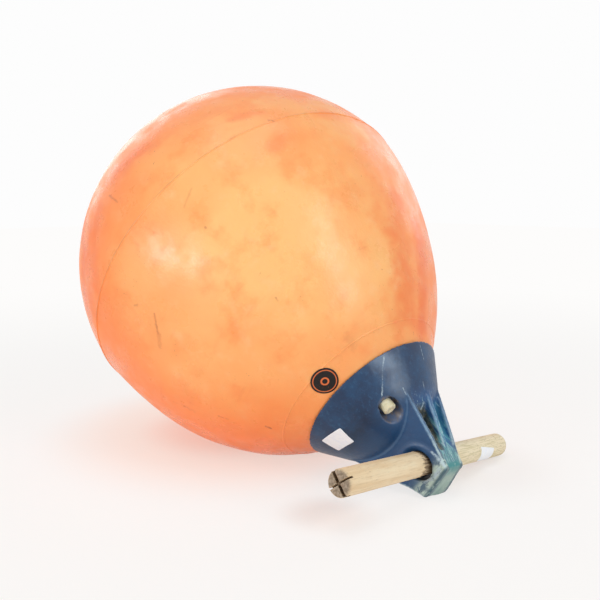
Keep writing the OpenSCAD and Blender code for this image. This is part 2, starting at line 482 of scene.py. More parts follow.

# broad patches of the deep colour, given in the same way: some are rubbed down to the dye, and
# those along the float's outline as seen from the camera and low down towards the floor are painted shade
FLOAT_PATCHES = (
    (-90.7, -182.3, -68.8, -45.8, -191.1, -87.1, 15, 0.5),
    (-2.3, -204.9, -65, 52.9, -207.9, -13, 13, 0.45),
    (-182.4, -111.9, -19.9, -162.6, -138.1, -26.1, 7, 0.4),
    (-180, -110, 22, -170, -122, 32, 10, 0.35), (-181.9, -12.3, 111.9, -181, -13, 113, 4, 0.6),
    (-164.4, -17.4, 142, -163, -18, 143, 3.5, 0.6), (-182, 2, 112.7, -157.3, -12, 153, 17, 0.5),
    (-157.3, -12, 153, -103.4, -16, 210.1, 22, 0.6),
    (18.3, -203.9, -65.5, 87.6, -195.9, -12.2, 14, 0.4), (80, -150, 110, 40, -150, 135, 13, 0.25),
    (-60, 178, -90, 10, 196, -70, 16, 0.4), (90, 150, 60, 40, 168, 100, 12, 0.3),
    (150, 40, -120, 120, 90, -130, 14, 0.35), (-120, 0, -168, -60, -60, -190, 13, 0.35),
    (-167.2, 39.2, 131.5, -145.1, 28.3, 166.8, 16, 0.7),
    (-145.1, 28.3, 166.8, -92.7, 16.4, 221.4, 14, 0.7),
    (35.8, -183.1, -106.7, 44.5, -200.4, -63.8, 12, 0.6),
    (44.5, -200.4, -63.8, 102.9, -186.8, -26.6, 12, 0.6),
)

# broad paler patches on the top of the float as it lies
FLOAT_PALE = (
    (-189.4, -93.4, -40.1, -202.6, -71, -11.3, 22, 0.5),
    (-202.6, -71, -11.3, -213, -21.7, -18.2, 20, 0.5),
    (-201.3, -63, 27.3, -211.5, -14, 22, 24, 0.6),
)


def float_vinyl_painted_lit_side(sizes):
    """PVC, blown in a mould: satin, slightly see-through so that it glows at its edges, painted
    paler on its lit front as painted light, with deeper patches, some rubbed and some painted
    shade along its edges, and with smears, rubbed marks and fine specks."""
    material, p = new_look("blown_pvc_painted_lit_side", lay_down())
    towards_lit_side = lay_down().to_3x3().inverted() @ LIT_SIDE
    # painted light: the float's colour is painted paler on the side towards its lit front
    facing = plus(vec("DOT_PRODUCT", vec("NORMALIZE", p), towards_lit_side), swing(noise(p, 130), 0.7))
    paled = window(facing, 0.39, 1.6, 1.95, 0.18)
    patches = noise(p, 38, 5, 0.6)
    # smears, drawn out along the wall in two ways
    smears = most(window(noise(p, 9, 5, 0.65, stretch=(1, 1, 0.16)), 0.62, 0.82),
                  window(noise(p, 7, 5, 0.65, stretch=(0.12, 0.12, 1)), 0.58, 0.8))
    # specks of grit, about a millimetre, which gather in patches
    specks = times(window(noise(p, 2.4, 1), 0.70, 0.78), window(noise(p, 60, 2), 0.5, 0.7), 0.55)
    # the parting line holds a little dirt
    seam = times(window(calc("ABSOLUTE", parted(p)[2]), 0.0010, 0.0003),
                 window(patches, 0.35, 0.65, 0.3, 0.05))
    colour = painted(
        sizes.deep,
        # painted light: the pale orange over the lit front
        (sizes.pale_orange, calc("MINIMUM", paled, 1.0)),
        # rubbed patches, and painted shade along the float's edges and low down
        ("#F06A26", strokes(p, FLOAT_PATCHES, 22)),
        (sizes.pale_orange, strokes(p, FLOAT_PALE, 22)),
        # blotches where the bloom is rubbed off, a few centimetres across, and chalky ones, which show only on the
        # painted lit front
        ("#F88A45", window(patches, 0.48, 0.74, 0.5)),
        ("#FFCB94", window(noise(p, 24, 4, 0.6), 0.52, 0.8, 0.5), paled),
        ("#DE6530", smears, window(patches, 0.35, 0.7), 0.45),
        (sizes.rubbed, most(most(specks, strokes(p, FLOAT_MARKS)), seam)))
    rough = plus(window(noise(p, 30, 4, 0.6), 0.35, 0.65, 0.43, 0.25), times(smears, 0.12))
    # pebbled mould skin of about 2 mm over slow waves of the wall
    pebble = plus(times(noise(p, 2.2, 2), 0.00022), times(noise(p, 26), 0.0011))
    return shaded(material, {
        "Base Color": colour, "Roughness": rough, "IOR": 1.53, "Specular IOR Level": 0.35,
        "Subsurface Weight": 0.12, "Subsurface Radius": (1.0, 0.35, 0.12),
        "Subsurface Scale": 0.012}, pebble, 0.55)


# marks on the head, given as those on the float
HEAD_SCRATCHES = (
    (-67.5, -48.5, 233.4, -58, -50.5, 240.5, 0.9, 0.85),
    (-58, -50.5, 240.5, -50.5, -51, 248, 0.9, 0.95),
    (-50.5, -51, 248, -38.7, -52.4, 259.3, 0.9, 0.85),
    (-82.9, 2.2, 233.7, -73.7, 4, 246.8, 0.6, 0.5), (-60.5, -6.2, 265.3, -52.6, -5, 277, 0.7, 0.7),
    (-52.5, -33.2, 263.5, -49, -31, 270, 0.6, 0.6), (-53.8, 32.1, 262.9, -49.6, 31, 270, 0.6, 0.6),
    (33, -58, 251, 22, -60.5, 256, 0.5, 0.35), (-20, 72, 244, -6, 68, 252, 0.6, 0.4),
    (48, 44, 253, 40, 40, 266, 0.6, 0.4), (-45.5, -6, 279.5, -40, -9.5, 283.2, 1.2, 0.9),
    (-40, -9.5, 283.2, -40.5, -14, 288, 1.4, 0.95),
    (-21.9, -19.1, 324.1, -21.7, -17.5, 332.1, 1.5, 0.8),
    (-21.7, -17.5, 332.1, -20.8, -16.8, 340.5, 1.8, 0.9),
    (-28.9, -3.5, 320.9, -22.2, 1.4, 339.8, 0.8, 0.75),
    (-28.6, 1, 325.4, -22.5, 4, 339.2, 0.7, 0.85), (-28.8, 14.8, 320.8, -22.6, 10.2, 339, 0.6, 0.6),
    (-26.6, -8.6, 330, -21.8, -7.2, 340.6, 0.7, 0.6), (-13.5, -16.6, 340, -5, -16.8, 342, 2.6, 1),
    (0, -16.8, 341, 7, -16.9, 338, 2.2, 0.9),
)

# painted shade low on the skirt's front, and a painted sheen, a pale highlight, under its rim
HEAD_SHADE = (
    (18, -58, 265.4, 2.5, -54.8, 272, 22, 0.6), (2.5, -54.8, 272, 2, -41.9, 282.5, 20, 0.65),
    (15.2, -45.8, 278, 2, -41.9, 282.5, 16, 0.5),
)
# the painted sheen, a pale highlight under the skirt's rim
HEAD_PAINTED_SHEEN = (
    (-64.6, -54.3, 231.5, -66, -43.2, 239.4, 12, 0.34), (-66, -43.2, 239.4, -51, -36, 262, 13, 0.2),
)


def moulded_head_vinyl(sizes):
    """Solid PVC, moulded over the neck: satin navy, brighter on the blade's faces, bleached
    teal with a chalky bloom at the blade's end, pale along the ribs with rubbed wear and a
    painted highlight, and dirty in the grooves, with painted shade low on the skirt, a painted
    sheen under its rim and painted light on the valve pocket's floor."""
    material, p = new_look("moulded_solid_pvc", lay_down())
    height = parted(p)[2]
    cloud = noise(p, 26, 5, 0.6)
    fine = noise(p, 4.5, 5, 0.65)
    streaks = noise(p, 2.4, 4, 0.65, stretch=(1, 1, 0.12))
    rise = plus(height, swing(cloud, 0.02))
    paled = window(rise, 0.320, 0.343)
    side = stored(p, "side")
    # the bloom is dragged across in slanting strokes
    smear = noise(p, 6, 5, 0.7, distortion=0.5, stretch=(0.35, 1, 1))
    bloom = times(stored(p, "bloom"), window(smear, 0.40, 0.52),
                  window(noise(p, 8), 0.36, 0.50, least=0.3))
    bloom = most(bloom, times(paled, window(smear, 0.54, 0.66), 0.45))
    rib = times(stored(p, "rib"), window(fine, 0.3, 0.6, least=0.55))
    soil = times(stored(p, "hollow"), window(noise(p, 7, 4), 0.3, 0.55, least=0.7))
    colour = painted(
        sizes.navy,
        ("#083E66", window(cloud, 0.3, 0.75)),
        # slate patches, and fine grey scuffing of a millimetre or two all over
        ("#252D3C", window(noise(p, 17, 4), 0.55, 0.75, 0.3)),
        ("#2F5F88", window(fine, 0.50, 0.72, 0.35)),
        # painted shade darkens the skirt low at the front, and a painted sheen lies under its rim
        ("#02182C", strokes(p, HEAD_SHADE, 15)),
        ("#8AA4BE", strokes(p, HEAD_PAINTED_SHEEN, 14)),
        (sizes.bright, stored(p, "face"), 0.8),
        # towards its end the blade bleaches to grey-blue, and to teal between the fins
        ("#7D98A0", paled, 0.42),
        ("#2C5F9C", side, 0.7),
        ("#64ABB4", side, window(rise, 0.268, 0.322), window(streaks, 0.42, 0.56)),
        (sizes.teal, side, window(rise, 0.318, 0.336), 0.6),
        ("#BCD8DC", side, window(streaks, 0.58, 0.68), 0.75),
        ("#2F8486", side, window(height, 0.338, 0.343)),
        (painted("#7E9F97", ("#9BB1A8", window(cloud, 0.4, 0.65))), stored(p, "end")),
        ("#3B8484", stored(p, "upper_end")),
        ("#40606B", stored(p, "corner"), 0.9),
        (sizes.chalk, bloom),
        # the ribs are pale with rubbed wear, and the same paint stands as a painted highlight along their edges
        (painted("#7A9DBA", ("#BAD2D6", window(height, 0.300, 0.330))), rib,
         window(height, 0.268, 0.294, 0.85, 0.35)),
        # the grooves on one side are washed out, and those on the other hold dirt
        ("#5CA3BF", stored(p, "washed")),
        (painted("#2E3632", (sizes.dirt, window(fine, 0.42, 0.58))), soil),
        ("#B4C9D4", strokes(p, HEAD_SCRATCHES), window(noise(p, 1.7, 2), 0.38, 0.52, 0.9, 0.25)),
        # pinholes and black specks on the bleached end
        ("#20302F", window(noise(p, 3.0, 2), 0.68, 0.74), paled, 0.8),
        ("#6F93B4", stored(p, "crease")),
        # the valve pocket's floor is painted lighter: grey-blue painted light, mottled with brown dirt
        (painted("#56647F", ("#776A60", window(noise(p, 6), 0.42, 0.58))), stored(p, "pocket")))
    rough = plus(window(fine, 0.3, 0.7, 0.48, 0.34), times(most(soil, bloom), 0.25))
    relief = plus(times(noise(p, 2.0), 0.00012), times(fine, 0.0003))
    return shaded(material, {"Base Color": colour, "Roughness": rough, "IOR": 1.53,
                             "Specular IOR Level": 0.5}, relief, 0.6)


def bare_wood(sizes):
    """Beech, turned and never finished: dry and pale, with short dark pores along the grain,
    greyed at the far end, dark end grain, and stained where it works in the eye."""
    material, p = new_look("turned_bare_beech", dowel_frame())
    along = parted(p)[2]

    def drawn(size_mm, detail, roughness, share):
        """Noise drawn out along the grain."""
        return noise(p, size_mm, detail, roughness, stretch=(1, 1, share))

    grain = drawn(1.5, 4, 0.6, 0.07)
    pores = drawn(0.9, 2, 0.5, 0.12)
    far = most(window(along, 0.015, 0.06, 0.75),
               window(drawn(22, 4, 0.6, 0.4), 0.58, 0.8, 0.5))
    # a ragged stain: fibres soak it up to different lengths
    reach = plus(calc("ABSOLUTE", along), swing(drawn(1.3, 3, 0.6, 0.1), 0.03))
    soaked = times(window(reach, 0.0270, 0.0215), window(grain, 0.4, 0.62, 0.35, 1.0), 0.9)
    colour = painted(
        sizes.wood,
        ("#E2C79D", window(drawn(7, 3, 0.5, 0.06), 0.35, 0.7)),
        ("#C7A97D", window(grain, 0.45, 0.75, 0.5)),
        ("#8F6F49", window(pores, 0.66, 0.78, 0.55)),
        # the far end is greyed, furrowed and speckled
        (sizes.weathered, far),
        ("#CDC195", window(along, 0.015, 0.06), window(drawn(1.6, 4, 0.65, 0.06), 0.44, 0.62),
         0.75),
        ("#989068", window(drawn(1.8, 3, 0.55, 0.5), 0.56, 0.68),
         window(along, 0.03, 0.135, 0.6, 0.1)),
        (painted("#6C5C4B", ("#A2917F", window(noise(p, 2.6), 0.35, 0.65))),
         stored(p, "end_grain"), 0.92),
        (sizes.stain, soaked),
        (painted("#3E2A17", ("#6E5233", window(grain, 0.45, 0.6))), stored(p, "cut"), 0.95))
    relief = plus(times(grain, 0.00025), times(pores, -0.00012))
    return shaded(material, {"Base Color": colour, "Roughness": 0.68}, relief, 0.7)


def ivory_plug():
    """Nylon, moulded and turned ivory: waxy, with small specks of grime."""
    material, p = new_look("moulded_ivory_nylon", lay_down())
    colour = painted("#E6DFC4", ("#CFC7A0", window(noise(p, 5, 4), 0.35, 0.7)),
                     ("#6B6144", window(noise(p, 1.6), 0.62, 0.72, 0.6)))
    return shaded(material, {
        "Base Color": colour, "Roughness": 0.42, "IOR": 1.53, "Subsurface Weight": 0.1,
        "Subsurface Radius": (1, 0.8, 0.5), "Subsurface Scale": 0.002},
        noise(p, 1.8), 0.4, 0.0003)


def label_paper():
    """Coated paper with a peel-off back: bright white, faintly mottled, hardly any gloss."""
    material, p = new_look("coated_label_paper", lay_down())
    colour = painted("#F6FBFF", ("#EDF4FE", window(noise(p, 4, 4), 0.4, 0.75)))
    return shaded(material, {"Base Color": colour, "Roughness": 0.55}, noise(p, 5), 0.35, 0.0004)


def printed_disc():
    """Screen-printed ink: near black with a thin ring and a plain middle, worn a little with
    the vinyl."""
    material, p = new_look("screen_printed_ink", lay_down())
    reach = stored(p, "reach")
    ring = times(window(reach, 0.79, 0.815), window(reach, 0.885, 0.86))
    middle = times(window(reach, 0.18, 0.21), window(reach, 0.33, 0.30))
    colour = painted("#1B1817", ("#D9713F", most(ring, middle)),
                     ("#B35C36", window(noise(p, 2.2, 4), 0.66, 0.74, 0.6)))
    return shaded(material, {"Base Color": colour, "Roughness": 0.42, "Specular IOR Level": 0.3})


# ---- float

# the low pressure gives the float a flat on its upper side and a spread on the floor: turns,
# and windows of height, each eased from its first number to its second
FLAT_TURN, FLAT_FROM, FLAT_TO = radians(162), (0.0, 0.13), (0.236, 0.212)
SPREAD_TURN, SPREAD_FROM, SPREAD_TO = radians(-6), (0.02, 0.14), (0.226, 0.180)
FLOOR_SOFTNESS = 0.0015
SEGMENTS, RINGS = 320, 240
BEAD_WAVER = 0.0006


def shoulder_arc(sizes):
    """Centre of the arc through seam and rim, and its angles at the seam and at the neck's end."""
    arc = sizes.shoulder_radius
    chord = Vector((sizes.rim_radius - sizes.ball_radius, sizes.rim_height))
    arm = sqrt(arc ** 2 - chord.length_squared / 4)
    centre = (Vector((sizes.ball_radius, 0)) + chord / 2
              - arm / chord.length * Vector((chord.y, -chord.x)))
    return centre, asin(-centre.y / arc), asin((sizes.neck_height - centre.y) / arc)


def float_radius(sizes, height):
    """Radius of the float at a height in front of the seam."""
    centre, _, _ = shoulder_arc(sizes)
    return centre.x + sqrt(sizes.shoulder_radius ** 2 - (height - centre.y) ** 2)


def float_tree():
    """A ball whose front half is drawn out into the shoulder, with soft dents."""
    tree, given = new_tree("blown_float", (
        "Ball Radius", "Shoulder Radius", "Arc Centre Radius", "Arc Centre Height", "Arc Start",
        "Arc End", "Unevenness"), ("Segments", "Rings"))
    ball = add(tree, "GeometryNodeMeshUVSphere", {
        "Segments": given["Segments"], "Rings": given["Rings"], "Radius": 1.0})
    here = add(tree, "GeometryNodeInputPosition").outputs[0]
    x, y, z = parted(here)
    latitude = calc("ARCSINE", calc("MINIMUM", most(z, -1.0), 1.0))
    share = calc("DIVIDE", latitude, pi / 2)
    turn = plus(given["Arc Start"],
                times(share, calc("SUBTRACT", given["Arc End"], given["Arc Start"])))
    in_front = calc("GREATER_THAN", z, 0.0)
    radius, height = (
        add(tree, "ShaderNodeMix", {
            0: in_front, 2: times(back, given["Ball Radius"]),
            3: plus(given[centre], times(calc(way, turn), given["Shoulder Radius"]))}).outputs[0]
        for back, centre, way in ((calc("COSINE", latitude), "Arc Centre Radius", "COSINE"),
                                  (z, "Arc Centre Height", "SINE")))
    dents = add(tree, "ShaderNodeTexNoise", {"Scale": 3.1, "Detail": 2.0, "Vector": here})
    radius = calc("SUBTRACT", radius, times(dents.outputs[0], given["Unevenness"]))
    outward = vec("SCALE", vec("NORMALIZE", xyz(x, y)), Scale=radius)
    return end_tree(tree, add(tree, "GeometryNodeSetPosition", {
        "Geometry": ball, "Position": vec("ADD", outward, xyz(0.0, 0.0, height))}), given)


def bead_tree():
    """A weld bead round the float: a thin round cord that wavers a little in height."""
    tree, given = new_tree("weld_bead", ("Radius", "Height", "Bead Radius", "Waver"))
    ring, section = (
        add(tree, "GeometryNodeCurvePrimitiveCircle", {"Resolution": count, "Radius": radius})
        for count, radius in ((360, given["Radius"]), (12, given["Bead Radius"])))
    wander = add(tree, "ShaderNodeTexNoise", {
        "Scale": 60.0, "Detail": 2.0, "Vector": add(tree, "GeometryNodeInputPosition")})
    lift = plus(given["Height"], swing(wander.outputs[0], given["Waver"]))
    moved = add(tree, "GeometryNodeSetPosition", {"Geometry": ring, "Offset": xyz(0.0, 0.0, lift)})
    return end_tree(tree, add(tree, "GeometryNodeCurveToMesh", {
        "Curve": moved, "Profile Curve": section}), given)


def slackened(co, sizes):
    """Points of the float, upright, as its low pressure lets it lie: the shoulder is a little
    flat on top and spreads on the floor."""
    turn = np.arctan2(co[:, 1], co[:, 0])
    reach = np.maximum(np.hypot(co[:, 0], co[:, 1]), 1e-6)
    flat, spread = (
        np.maximum(np.cos(turn - middle), 0) ** 2 * ramp(co[:, 2], *begins) * ramp(co[:, 2], *ends)
        for middle, begins, ends in ((FLAT_TURN, FLAT_FROM, FLAT_TO),
                                     (SPREAD_TURN, SPREAD_FROM, SPREAD_TO)))
    change = sizes.slack_below * spread - sizes.slack_above * flat
    out = co.copy()
    out[:, :2] *= (1 + change / reach)[:, None]
    return out


def laid(piece, sizes):
    """Lays an upright piece of the float down, slackened, and lets the floor stop it."""
    mesh = piece.data
    set_points(mesh, slackened(points(mesh), sizes))
    mesh.transform(lay_down())
    co = points(mesh)
    co[:, 2] = (co[:, 2] + np.sqrt(co[:, 2] ** 2 + FLOOR_SOFTNESS ** 2)) / 2
    set_points(mesh, co)
    set_smooth(mesh)
    return piece


class BUOY_OT_float(bpy.types.Operator):
    """Blows the float and lays its seam beads"""
    bl_idname = "buoy.float"
    bl_label = "Float and seam beads"

    def execute(self, context):
        sizes = context.scene.buoy_float
        material = float_vinyl_painted_lit_side(sizes)
        centre, start, end = shoulder_arc(sizes)
        skin = run_tree("float_skin", float_tree(), material, {
            "Ball Radius": sizes.ball_radius, "Shoulder Radius": sizes.shoulder_radius,
            "Arc Centre Radius": centre.x, "Arc Centre Height": centre.y, "Arc Start": start,
            "Arc End": end, "Unevenness": sizes.unevenness, "Segments": SEGMENTS, "Rings": RINGS})
        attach(laid(skin, sizes), "buoy")
        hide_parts("float_body")
        tree = bead_tree()
        # how far each bead stands proud of the float
        for name, height, proud in (("seam_bead", 0.0, 0.0003),
                                    ("neck_bead", sizes.ring_height, 0.00015)):
            tilt = asin((height - centre.y) / sizes.shoulder_radius)
            depth = sizes.bead_radius - proud
            bead = run_tree(name, tree, material, {
                "Radius": float_radius(sizes, height) - depth * cos(tilt),
                "Height": height - depth * sin(tilt), "Bead Radius": sizes.bead_radius,
                "Waver": BEAD_WAVER})
            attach(laid(bead, sizes), "buoy")
        return {"FINISHED"}


# ---- head and valve

# the blade's narrow edges and broad faces lean outwards from its end to its foot
EDGE_LEAN, FACE_LEAN = tan(radians(21)), tan(radians(11.7))
# the valve's pocket: its reach from the buoy's axis and its turn
POCKET_REACH, POCKET_TURN = 0.0528, radians(-90 - 35.5)

# heights on the upright buoy where each look of the head begins and ends, eased from the
# first number of a window to its second
FILLET_FROM = (0.240, 0.250)
FULLER_FROM = (0.328, 0.345)
CREASE_FROM = (0.258, 0.268)
FACE_FROM, FACE_TO = (0.262, 0.285), (0.345, 0.325)
RIB_FROM, RIB_TO = (0.262, 0.270), (0.3455, 0.342)
SIDE_FROM = (0.262, 0.288)
GROOVE_FROM, GROOVE_TO = 0.262, 0.340
SOIL_FROM = (0.277, 0.285)
BLOOM_FROM, BLOOM_TO = (0.331, 0.338), (0.3445, 0.3425)
CORNER_FROM = (0.3426, 0.3442)
END_FROM = (0.3448, 0.3462)


def upright(mesh):
    """A laid mesh's points on the buoy's upright frame."""
    return inside_frame(points(mesh), lay_down())


class BUOY_OT_head(bpy.types.Operator):
    """Softens the rope-eye head and marks its ribs, pale with wear and a painted highlight, its bright faces, its
    dirty grooves and the painted light in its valve pocket
    """
    bl_idname = "buoy.head"
    bl_label = "Rope-eye head"

    def execute(self, context):
        sizes = context.scene.buoy_head
        skin, proud = softened("rope_head", "head_skin", sizes.grain, 3)
        mesh = skin.data
        ends = neighbours(mesh)
        at = upright(mesh)
        to_far_edge, to_far_face, z = at.T
        x, y = np.abs(to_far_edge), np.abs(to_far_face)
        half_width = sizes.tip_half_width + (sizes.tip_height - z) * EDGE_LEAN
        half_thick = sizes.tip_thickness / 2 + (sizes.tip_height - z) * FACE_LEAN
        from_eye = np.hypot(to_far_edge, z - sizes.eye_height)
        from_pocket = np.hypot(to_far_edge - POCKET_REACH * cos(POCKET_TURN),
                               to_far_face - POCKET_REACH * sin(POCKET_TURN))

        def near_face(depth):
            return y > half_thick - depth

        # corners between the blade and the skirt fill in, away from the eye and the pocket
        hollow = averaged(ramp(-proud, 0.03, 0.16), ends, 6) * ramp(from_eye, 0.019, 0.024)
        hollow *= ramp(from_pocket, 0.013, 0.016) * ramp(z, *FILLET_FROM) * near_face(0.006)
        share = np.clip(hollow * 1.6, 0, 1)[:, None]
        co = points(mesh)
        for _ in range(round((sizes.fillet / sizes.grain) ** 2 * 2)):
            co += share * 0.5 * (averaged(co, ends, 1, 1.0) - co)
        set_points(mesh, co)

        # the blade's end is fuller towards the floor and towards its far side
        across, sideways, along = np.array(lay_down().to_3x3()).T
        near_end = ramp(z, *FULLER_FROM)
        longer = 0.0022 + 0.0018 * ramp(to_far_face, -0.006, 0.012)
        co = points(mesh)
        co += (near_end * ramp(to_far_edge, 0.0, 0.02) * 0.0008)[:, None] * across
        co += (near_end * ramp(to_far_edge, -0.018, 0.016) * longer)[:, None] * along
        co += (near_end * ramp(to_far_face, 0.0, 0.014) * 0.0022)[:, None] * sideways
        set_points(mesh, co)

        face = ramp(z, *FACE_FROM) * near_face(0.004) * (x < half_width)
        # the ribs' crests, which the material paints pale for wear and as a painted highlight
        rib = ramp(proud, 0.16, 0.32) * ramp(z, *RIB_FROM) * ramp(z, *RIB_TO)
        rib *= (x > half_width - 0.005) * ~near_face(-0.002)
        side = 1.0 * ~near_face(0.0045) * (x > half_width - 0.013) * ramp(z, *SIDE_FROM)
        # a pale bloom lies across both faces near the end, and a darker band along the corner
        bloom = ramp(z, *BLOOM_FROM) * ramp(z, *BLOOM_TO) * near_face(0.0045)
        end = averaged(ramp(z, *END_FROM) * (y < half_thick - 0.002), ends, 1)
        crease = ramp(-proud, 0.14, 0.20) * ramp(from_eye, 0.024, 0.030)
        crease *= ramp(from_pocket, 0.0125, 0.015) * near_face(0.004) * ramp(z, *CREASE_FROM)
        # the valve pocket's floor, which the material paints lighter as painted light
        pocket_floor = ramp(from_pocket, 0.0122, 0.0105) * (to_far_face < 0) * (z > FILLET_FROM[0])
        # the grooves hold dirt near the floor on one side, and are washed out on the other
        groove = (y > 0.003) & (y < half_thick - 0.0035) & (z > GROOVE_FROM) & (z < GROOVE_TO)
        groove = averaged(ramp(half_width - x, 0.002, 0.008) * groove * (x > 0.022), ends, 3)
        dirty = to_far_edge * to_far_face > 0
        deep = np.maximum(ramp(y, 0.0034, 0.0052), ramp(half_width - x, 0.0030, 0.0055))
        soil = (groove > 0) * ramp(z, *SOIL_FROM) * deep * dirty
        store(mesh, rib=rib, end=end,
              face=averaged(face, ends, 12) * ramp(z, *FACE_TO) * 0.75,
              side=averaged(side, ends, 2),
              bloom=averaged(bloom, ends, 1),
              corner=averaged(ramp(z, *CORNER_FROM) * near_face(0.005), ends, 1),
              upper_end=end * ramp(to_far_edge, -0.006, -0.019) * 0.9,
              crease=crease * 0.22,
              pocket=averaged(pocket_floor, ends, 1) * 0.85,
              hollow=averaged(soil, ends, 1) * 0.95,
              washed=groove * ~dirty * 0.6)

        keep_inside(mesh, *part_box("rope_head"))
        mesh.materials.append(moulded_head_vinyl(sizes))
        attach(skin, "buoy")
        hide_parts("rope_head")
        return {"FINISHED"}


class BUOY_OT_valve(bpy.types.Operator):
    """Gives the air plug its aged ivory nylon"""
    bl_idname = "buoy.valve"
    bl_label = "Valve plug"

    def execute(self, context):
        plug = frame["nodes"]["valve_plug"]
        plug.data.materials.clear()
        plug.data.materials.append(ivory_plug())
        return {"FINISHED"}


# ---- dowel

# the saw cuts: as deep as the blade reached, where their floor begins, and where wood is whole
CUT_DEPTH, CUT_FLOOR, CUT_WHOLE = 0.0125, 0.0127, 0.020
# each cut's turn in degrees, and what is left of its depth and of its width
CUTS = ((17, 0.5, 0.6), (107, 0.6, 1.0))
FIBRE_LENGTH = 0.006


def splinter_tree():
    """Loose fibres that lie round the dowel: thin pointed slivers, each with its own length
    and lift."""
    tree, given = new_tree("loose_fibres", ("Radius", "Start", "Longest"), ("Count", "Seed"))

    def chance(low, high, salt):
        return add(tree, "FunctionNodeRandomValue", {
            "Min": low, "Max": high, "Seed": plus(given["Seed"], salt)},
            data_type="FLOAT").outputs[1]

    line = add(tree, "GeometryNodeMeshLine", {"Count": given["Count"]})
    turn = chance(0.0, 2 * pi, 1)
    lift = plus(given["Radius"], chance(-0.0002, 0.0003, 2))
    side = vec("SCALE", xyz(calc("COSINE", turn), calc("SINE", turn)), Scale=lift)
    start = plus(given["Start"], chance(-0.001, 0.003, 3))
    placed = add(tree, "GeometryNodeSetPosition", {
        "Geometry": line, "Position": vec("ADD", side, xyz(0.0, 0.0, start))})
    sliver = add(tree, "GeometryNodeMeshCone", {
        "Vertices": 5, "Radius Top": 0.0, "Radius Bottom": 1.0, "Depth": 1.0})
    long = times(given["Longest"], chance(0.35, 1.0, 4))
    thick = chance(0.00018, 0.00045, 5)
    return end_tree(tree, add(tree, "GeometryNodeInstanceOnPoints", {
        "Points": placed, "Instance": sliver, "Scale": xyz(thick, thick, long),
        "Rotation": xyz(chance(-0.10, 0.10, 6), chance(-0.05, 0.14, 7), turn)}), given)


class BUOY_OT_dowel(bpy.types.Operator):
    """Wears the dowel's ends, marks its saw cuts and raises the fibres where it works in the eye"""
    bl_idname = "buoy.dowel"
    bl_label = "Dowel"

    def execute(self, context):
        sizes = context.scene.buoy_dowel
        skin, _ = softened("dowel", "dowel_skin", sizes.grain, 2)
        mesh = skin.data
        keep_inside(mesh, *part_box("dowel"))
        ends = neighbours(mesh)
        place = dowel_frame()
        from_middle = inside_frame(points(mesh), place)[:, 2]
        middle = np.array(lay_down().inverted() @ DOWEL_MID)

        # the saw wandered: neither cut is as deep as the blade reached, and one is narrower
        co, deep, from_cut = points(mesh), from_middle + sizes.near_end, []
        for turn, share, width in CUTS:
            across = around(1, radians(90 - turn)).xzy
            off = (upright(mesh) - middle) @ np.array(across)
            beside = ramp(np.abs(off), 0.0042, 0.0019)
            squeeze = (CUT_WHOLE - CUT_DEPTH * share) / (CUT_WHOLE - CUT_DEPTH)
            shallower = np.where(deep < CUT_DEPTH, deep * share,
                                 CUT_WHOLE - (CUT_WHOLE - deep) * squeeze)
            in_cut = beside * (deep < CUT_WHOLE) * (deep > 0)
            co += (in_cut * (shallower - deep))[:, None] * np.array(DOWEL_DIR)
            closer = np.array(lay_down().to_3x3() @ across)
            co -= (off * beside * (1 - width) * ramp(deep, 0.016, 0.013))[:, None] * closer
            from_cut.append(np.abs(off) / (0.6 + 0.4 * width)
                            + np.where(deep > CUT_FLOOR, 1.0, 0.0))
        set_points(mesh, co)

        end_grain = (np.abs(normals(mesh) @ np.array(DOWEL_DIR))
                     * (np.abs(from_middle) > sizes.near_end - 0.004))
        store(mesh, end_grain=averaged(end_grain, ends, 2),
              cut=ramp(np.minimum(*from_cut), 0.0020, 0.0015))
        material = bare_wood(sizes)
        mesh.materials.append(material)
        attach(skin, "dowel")
        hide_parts("dowel")

        tree = splinter_tree()
        turned = Matrix.Rotation(pi, 4, "X")
        for name, seed, facing in (("near_fibres", 3, place @ turned), ("far_fibres", 8, place)):
            fibres = run_tree(name, tree, material, {
                "Count": sizes.splinters, "Radius": DOWEL_RADIUS - 0.0001,
                "Start": sizes.mouth + 0.003, "Longest": FIBRE_LENGTH, "Seed": seed})
            fibres.data.transform(facing)
            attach(fibres, "dowel")
        return {"FINISHED"}


# ---- labels and print

# the printed disc's radius, and the height and turn of its middle on the float
DISC_RADIUS, DISC_HEIGHT, DISC_TURN = 0.0142, 0.2195, radians(-103.9)
# width, height, corner radius and turn in degrees of each label
SKIRT_LABEL, DOWEL_LABEL = (0.031, 0.021, 0.0015, -24), (0.029, 0.018, 0.0008, 9)
# the skirt's slope and how far it stands over the float at its rim, and its label's place
SKIRT_SLOPE, SKIRT_LIP = radians(34.8), 0.0025
SKIRT_LABEL_HEIGHT, SKIRT_LABEL_TURN = 0.2547, radians(-64)
DOWEL_LABEL_ALONG, DOWEL_LABEL_TURN = 0.1065, radians(198)


